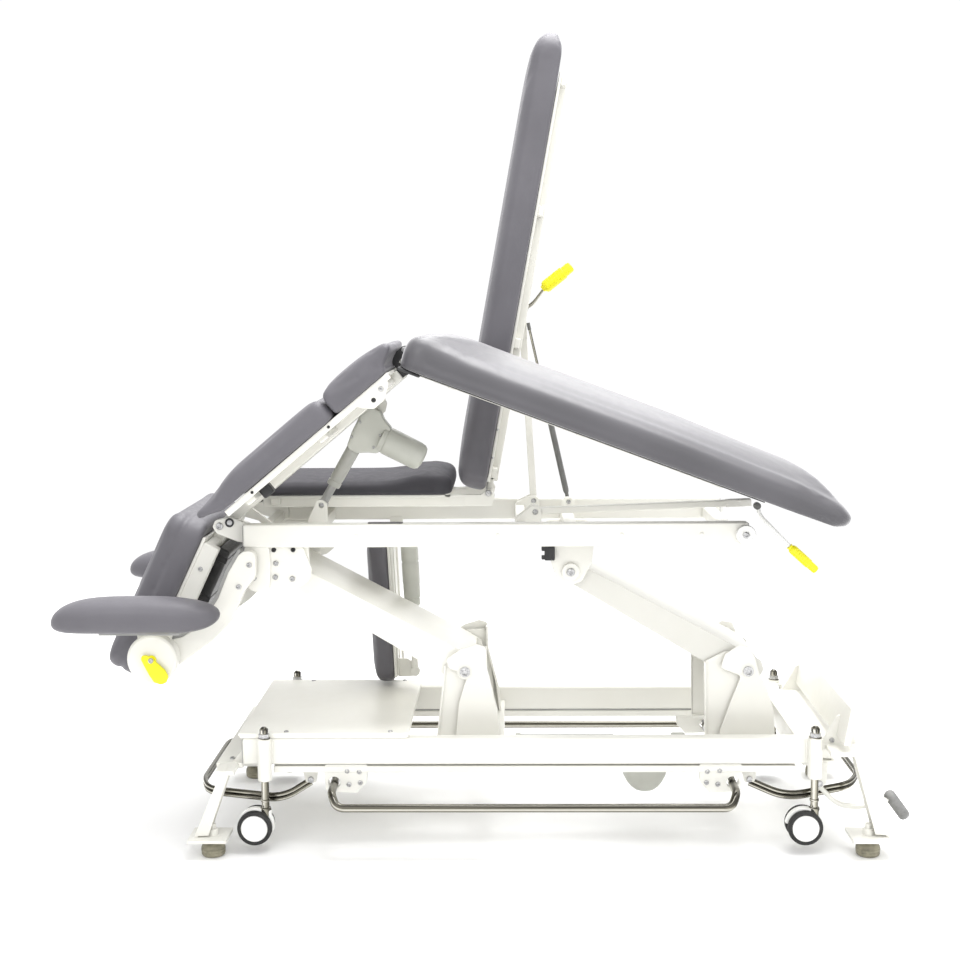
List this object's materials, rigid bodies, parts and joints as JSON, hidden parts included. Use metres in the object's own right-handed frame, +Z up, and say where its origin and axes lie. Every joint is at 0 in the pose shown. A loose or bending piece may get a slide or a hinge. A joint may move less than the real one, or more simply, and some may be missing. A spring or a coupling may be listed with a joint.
{
  "type": "massage table",
  "caption": "Sectional massage and treatment table on a wheeled lift base: split padded top with tented, upright and hanging sections, drop head with armrests, release levers and foot bars.",
  "frame": {"origin": "on the floor under the middle of the object's bounding box", "axes": "+Z up, +X along the table from the head end towards the foot end, +Y from the near side of the picture towards the far side"},
  "size_m": [1.94, 0.8, 1.8921],
  "materials": {
    "white_paint": "satin powder coat",
    "vinyl": "semi-matt vinyl upholstery",
    "chrome": "polished",
    "steel": "zinc plated",
    "black_plastic": "matt",
    "yellow_plastic": "gloss",
    "grey_plastic": "matt",
    "rubber": "matt",
    "tyre": "matt"
  },
  "bodies": {
    "base": {"base_frame": "white_paint", "base_cover": "white_paint", "foot_bracket_left": "white_paint", "foot_bracket_right": "white_paint", "foot_near_left": "rubber", "foot_far_left": "rubber", "foot_near_right": "rubber", "foot_far_right": "rubber", "lift_drive": "grey_plastic", "lift_pin_low_left": "steel", "lift_pin_low_right": "steel"},
    "drive_rod": {"lift_rod": "steel"},
    "arm_left": {"lift_arm_left": "white_paint"},
    "arm_right": {"lift_arm_right": "white_paint"},
    "top": {"top_frame": "white_paint", "lift_pin_high_left": "steel", "lift_pin_high_right": "steel", "seat_frame_far": "white_paint", "seat_pad_far": "vinyl", "armrest_bar_near": "white_paint", "armrest_bar_far": "white_paint"},
    "swivel_near_left": {"caster_fork_near_left": "grey_plastic"},
    "swivel_far_left": {"caster_fork_far_left": "grey_plastic"},
    "swivel_near_right": {"caster_fork_near_right": "grey_plastic"},
    "swivel_far_right": {"caster_fork_far_right": "grey_plastic"},
    "wheel_near_left": {"caster_wheel_near_left": "tyre"},
    "wheel_far_left": {"caster_wheel_far_left": "tyre"},
    "wheel_near_right": {"caster_wheel_near_right": "tyre"},
    "wheel_far_right": {"caster_wheel_far_right": "tyre"},
    "bar_near": {"foot_bar_near": "chrome"},
    "bar_far": {"foot_bar_far": "chrome"},
    "bar_left": {"foot_bar_left": "chrome"},
    "bar_right": {"foot_bar_right": "chrome"},
    "brake": {"brake_pedal": "white_paint"},
    "mid": {"mid_frame": "white_paint", "mid_pad_lower": "vinyl", "mid_pad_upper": "vinyl"},
    "tilt_housing": {"tilt_actuator": "grey_plastic"},
    "tilt_rod": {"tilt_actuator_rod": "steel"},
    "leg": {"leg_frame": "white_paint", "leg_pad": "vinyl"},
    "prop_near": {"leg_prop": "white_paint"},
    "lever_near": {"leg_lever": "yellow_plastic"},
    "back": {"back_frame": "white_paint", "back_pad": "vinyl"},
    "prop_far": {"back_prop": "white_paint"},
    "lever_far": {"back_lever": "yellow_plastic"},
    "spring_tube": {"gas_spring_tube": "black_plastic"},
    "spring_rod": {"gas_spring_rod": "steel"},
    "drop": {"drop_frame": "white_paint", "drop_pad": "vinyl", "drop_actuator": "grey_plastic"},
    "head": {"head_frame": "white_paint", "head_pad": "vinyl"},
    "armrest_near": {"armrest_hub_near": "white_paint", "armrest_pad_near": "vinyl"},
    "armrest_far": {"armrest_hub_far": "white_paint", "armrest_pad_far": "vinyl"},
    "clamp_near": {"armrest_lever_near": "yellow_plastic"},
    "clamp_far": {"armrest_lever_far": "yellow_plastic"}
  },
  "joints": [
    {"name": "lift", "type": "hinge", "parent": "base", "child": "arm_left", "pos_m": [-0.06, 0, 0.39], "axis": [0, 1, 0], "range_deg": [0, 25]},
    {"name": "lift_right", "type": "hinge", "parent": "base", "child": "arm_right", "pos_m": [0.605, 0, 0.39], "axis": [0, 1, 0], "range_deg": [0, 25]},
    {"name": "top_level", "type": "hinge", "parent": "arm_left", "child": "top", "pos_m": [-0.476, 0, 0.628], "axis": [0, 1, 0], "range_deg": [-25, 0]},
    {"name": "drive_slide", "type": "slide", "parent": "base", "child": "drive_rod", "axis": [-1, 0, 0], "range_m": [0, 0.0875]},
    {"name": "swivel_near_left", "type": "hinge", "parent": "base", "child": "swivel_near_left", "pos_m": [-0.517, -0.265, 0.1], "axis": [0, 0, 1], "continuous": true},
    {"name": "swivel_far_left", "type": "hinge", "parent": "base", "child": "swivel_far_left", "pos_m": [-0.517, 0.265, 0.1], "axis": [0, 0, 1], "continuous": true},
    {"name": "swivel_near_right", "type": "hinge", "parent": "base", "child": "swivel_near_right", "pos_m": [0.738, -0.265, 0.1], "axis": [0, 0, 1], "continuous": true},
    {"name": "swivel_far_right", "type": "hinge", "parent": "base", "child": "swivel_far_right", "pos_m": [0.738, 0.265, 0.1], "axis": [0, 0, 1], "continuous": true},
    {"name": "roll_near_left", "type": "hinge", "parent": "swivel_near_left", "child": "wheel_near_left", "pos_m": [-0.54, -0.265, 0.062], "axis": [0, 1, 0], "continuous": true},
    {"name": "roll_far_left", "type": "hinge", "parent": "swivel_far_left", "child": "wheel_far_left", "pos_m": [-0.54, 0.265, 0.062], "axis": [0, 1, 0], "continuous": true},
    {"name": "roll_near_right", "type": "hinge", "parent": "swivel_near_right", "child": "wheel_near_right", "pos_m": [0.715, -0.265, 0.062], "axis": [0, 1, 0], "continuous": true},
    {"name": "roll_far_right", "type": "hinge", "parent": "swivel_far_right", "child": "wheel_far_right", "pos_m": [0.715, 0.265, 0.062], "axis": [0, 1, 0], "continuous": true},
    {"name": "bar_near_lift", "type": "hinge", "parent": "base", "child": "bar_near", "pos_m": [0.1, -0.2, 0.155], "axis": [1, 0, 0], "range_deg": [-6, 0]},
    {"name": "bar_far_lift", "type": "hinge", "parent": "base", "child": "bar_far", "pos_m": [0.1, 0.2, 0.155], "axis": [1, 0, 0], "range_deg": [0, 6]},
    {"name": "bar_left_lift", "type": "hinge", "parent": "base", "child": "bar_left", "pos_m": [-0.42, 0, 0.15], "axis": [0, 1, 0], "range_deg": [0, 5]},
    {"name": "bar_right_lift", "type": "hinge", "parent": "base", "child": "bar_right", "pos_m": [0.6, 0, 0.15], "axis": [0, 1, 0], "range_deg": [-5, 0]},
    {"name": "brake_press", "type": "hinge", "parent": "base", "child": "brake", "pos_m": [0.755, -0.2252, 0.15], "axis": [0, 1, 0], "range_deg": [-10, 8]},
    {"name": "mid_tilt", "type": "hinge", "parent": "top", "child": "mid", "pos_m": [-0.592, 0, 0.758], "axis": [0, 1, 0], "range_deg": [-3, 23]},
    {"name": "leg_fold", "type": "hinge", "parent": "mid", "child": "leg", "pos_m": [-0.18993, 0, 1.14816], "axis": [0, 1, 0], "range_deg": [-37, 5]},
    {"name": "tilt_pivot", "type": "hinge", "parent": "mid", "child": "tilt_housing", "pos_m": [-0.2696, 0, 0.9982], "axis": [0, 1, 0], "range_deg": [-2.6, 19.5]},
    {"name": "tilt_slide", "type": "slide", "parent": "tilt_housing", "child": "tilt_rod", "axis": [-0.4997, 0, -0.8662], "range_m": [-0.0295, 0.0045]},
    {"name": "leg_prop_pivot", "type": "hinge", "parent": "top", "child": "prop_near", "pos_m": [0.107, 0, 0.767], "axis": [0, 1, 0], "range_deg": [-0.5, 1.5]},
    {"name": "leg_lever_pull", "type": "hinge", "parent": "prop_near", "child": "lever_near", "pos_m": [0.626, 0, 0.776], "axis": [0, 1, 0], "range_deg": [-12, 0]},
    {"name": "back_tilt", "type": "hinge", "parent": "top", "child": "back", "pos_m": [-0.005, 0, 0.79], "axis": [0, 1, 0], "range_deg": [0, 75]},
    {"name": "back_prop_pivot", "type": "hinge", "parent": "top", "child": "prop_far", "pos_m": [0.108, 0, 0.755], "axis": [0, 1, 0], "range_deg": [0, 87]},
    {"name": "back_lever_pull", "type": "hinge", "parent": "prop_far", "child": "lever_far", "pos_m": [0.088, 0, 1.2385], "axis": [0, 1, 0], "range_deg": [-12, 0]},
    {"name": "spring_pivot", "type": "hinge", "parent": "top", "child": "spring_tube", "pos_m": [0.1956, 0, 0.755], "axis": [0, 1, 0], "range_deg": [0, 94.6]},
    {"name": "spring_slide", "type": "slide", "parent": "spring_tube", "child": "spring_rod", "axis": [-0.2176, 0, 0.976], "range_m": [-0.084, 0]},
    {"name": "drop_swing", "type": "hinge", "parent": "top", "child": "drop", "pos_m": [-0.245, 0, 0.69], "axis": [0, 1, 0], "range_deg": [-2, 22]},
    {"name": "head_tilt", "type": "hinge", "parent": "top", "child": "head", "pos_m": [-0.615, 0, 0.75], "axis": [0, 1, 0], "range_deg": [-6, 34]},
    {"name": "armrest_near_turn", "type": "hinge", "parent": "top", "child": "armrest_near", "pos_m": [-0.76, -0.28, 0.459], "axis": [0, 1, 0], "range_deg": [-15, 15]},
    {"name": "armrest_far_turn", "type": "hinge", "parent": "top", "child": "armrest_far", "pos_m": [-0.76, 0.28, 0.459], "axis": [0, 1, 0], "range_deg": [-15, 15]},
    {"name": "clamp_near_turn", "type": "hinge", "parent": "armrest_near", "child": "clamp_near", "pos_m": [-0.76, -0.307, 0.459], "axis": [0, 1, 0], "range_deg": [-35, 0]},
    {"name": "clamp_far_turn", "type": "hinge", "parent": "armrest_far", "child": "clamp_far", "pos_m": [-0.76, 0.307, 0.459], "axis": [0, 1, 0], "range_deg": [-35, 0]}
  ],
  "couplings": [
    {"joint": "lift_right", "follows": "lift", "ratio": 1},
    {"joint": "top_level", "follows": "lift", "ratio": -1},
    {"joint": "drive_slide", "follows": "lift", "m_per_rad": 0.2},
    {"joint": "leg_fold", "follows": "mid_tilt", "ratio": -1.6},
    {"joint": "tilt_pivot", "follows": "mid_tilt", "ratio": 0.84},
    {"joint": "tilt_slide", "follows": "mid_tilt", "m_per_rad": -0.0728},
    {"joint": "leg_prop_pivot", "follows": "mid_tilt", "ratio": 0.06},
    {"joint": "back_prop_pivot", "follows": "back_tilt", "ratio": 1.15},
    {"joint": "spring_pivot", "follows": "back_tilt", "ratio": 1.2587},
    {"joint": "spring_slide", "follows": "back_tilt", "m_per_rad": -0.0638}
  ]
}
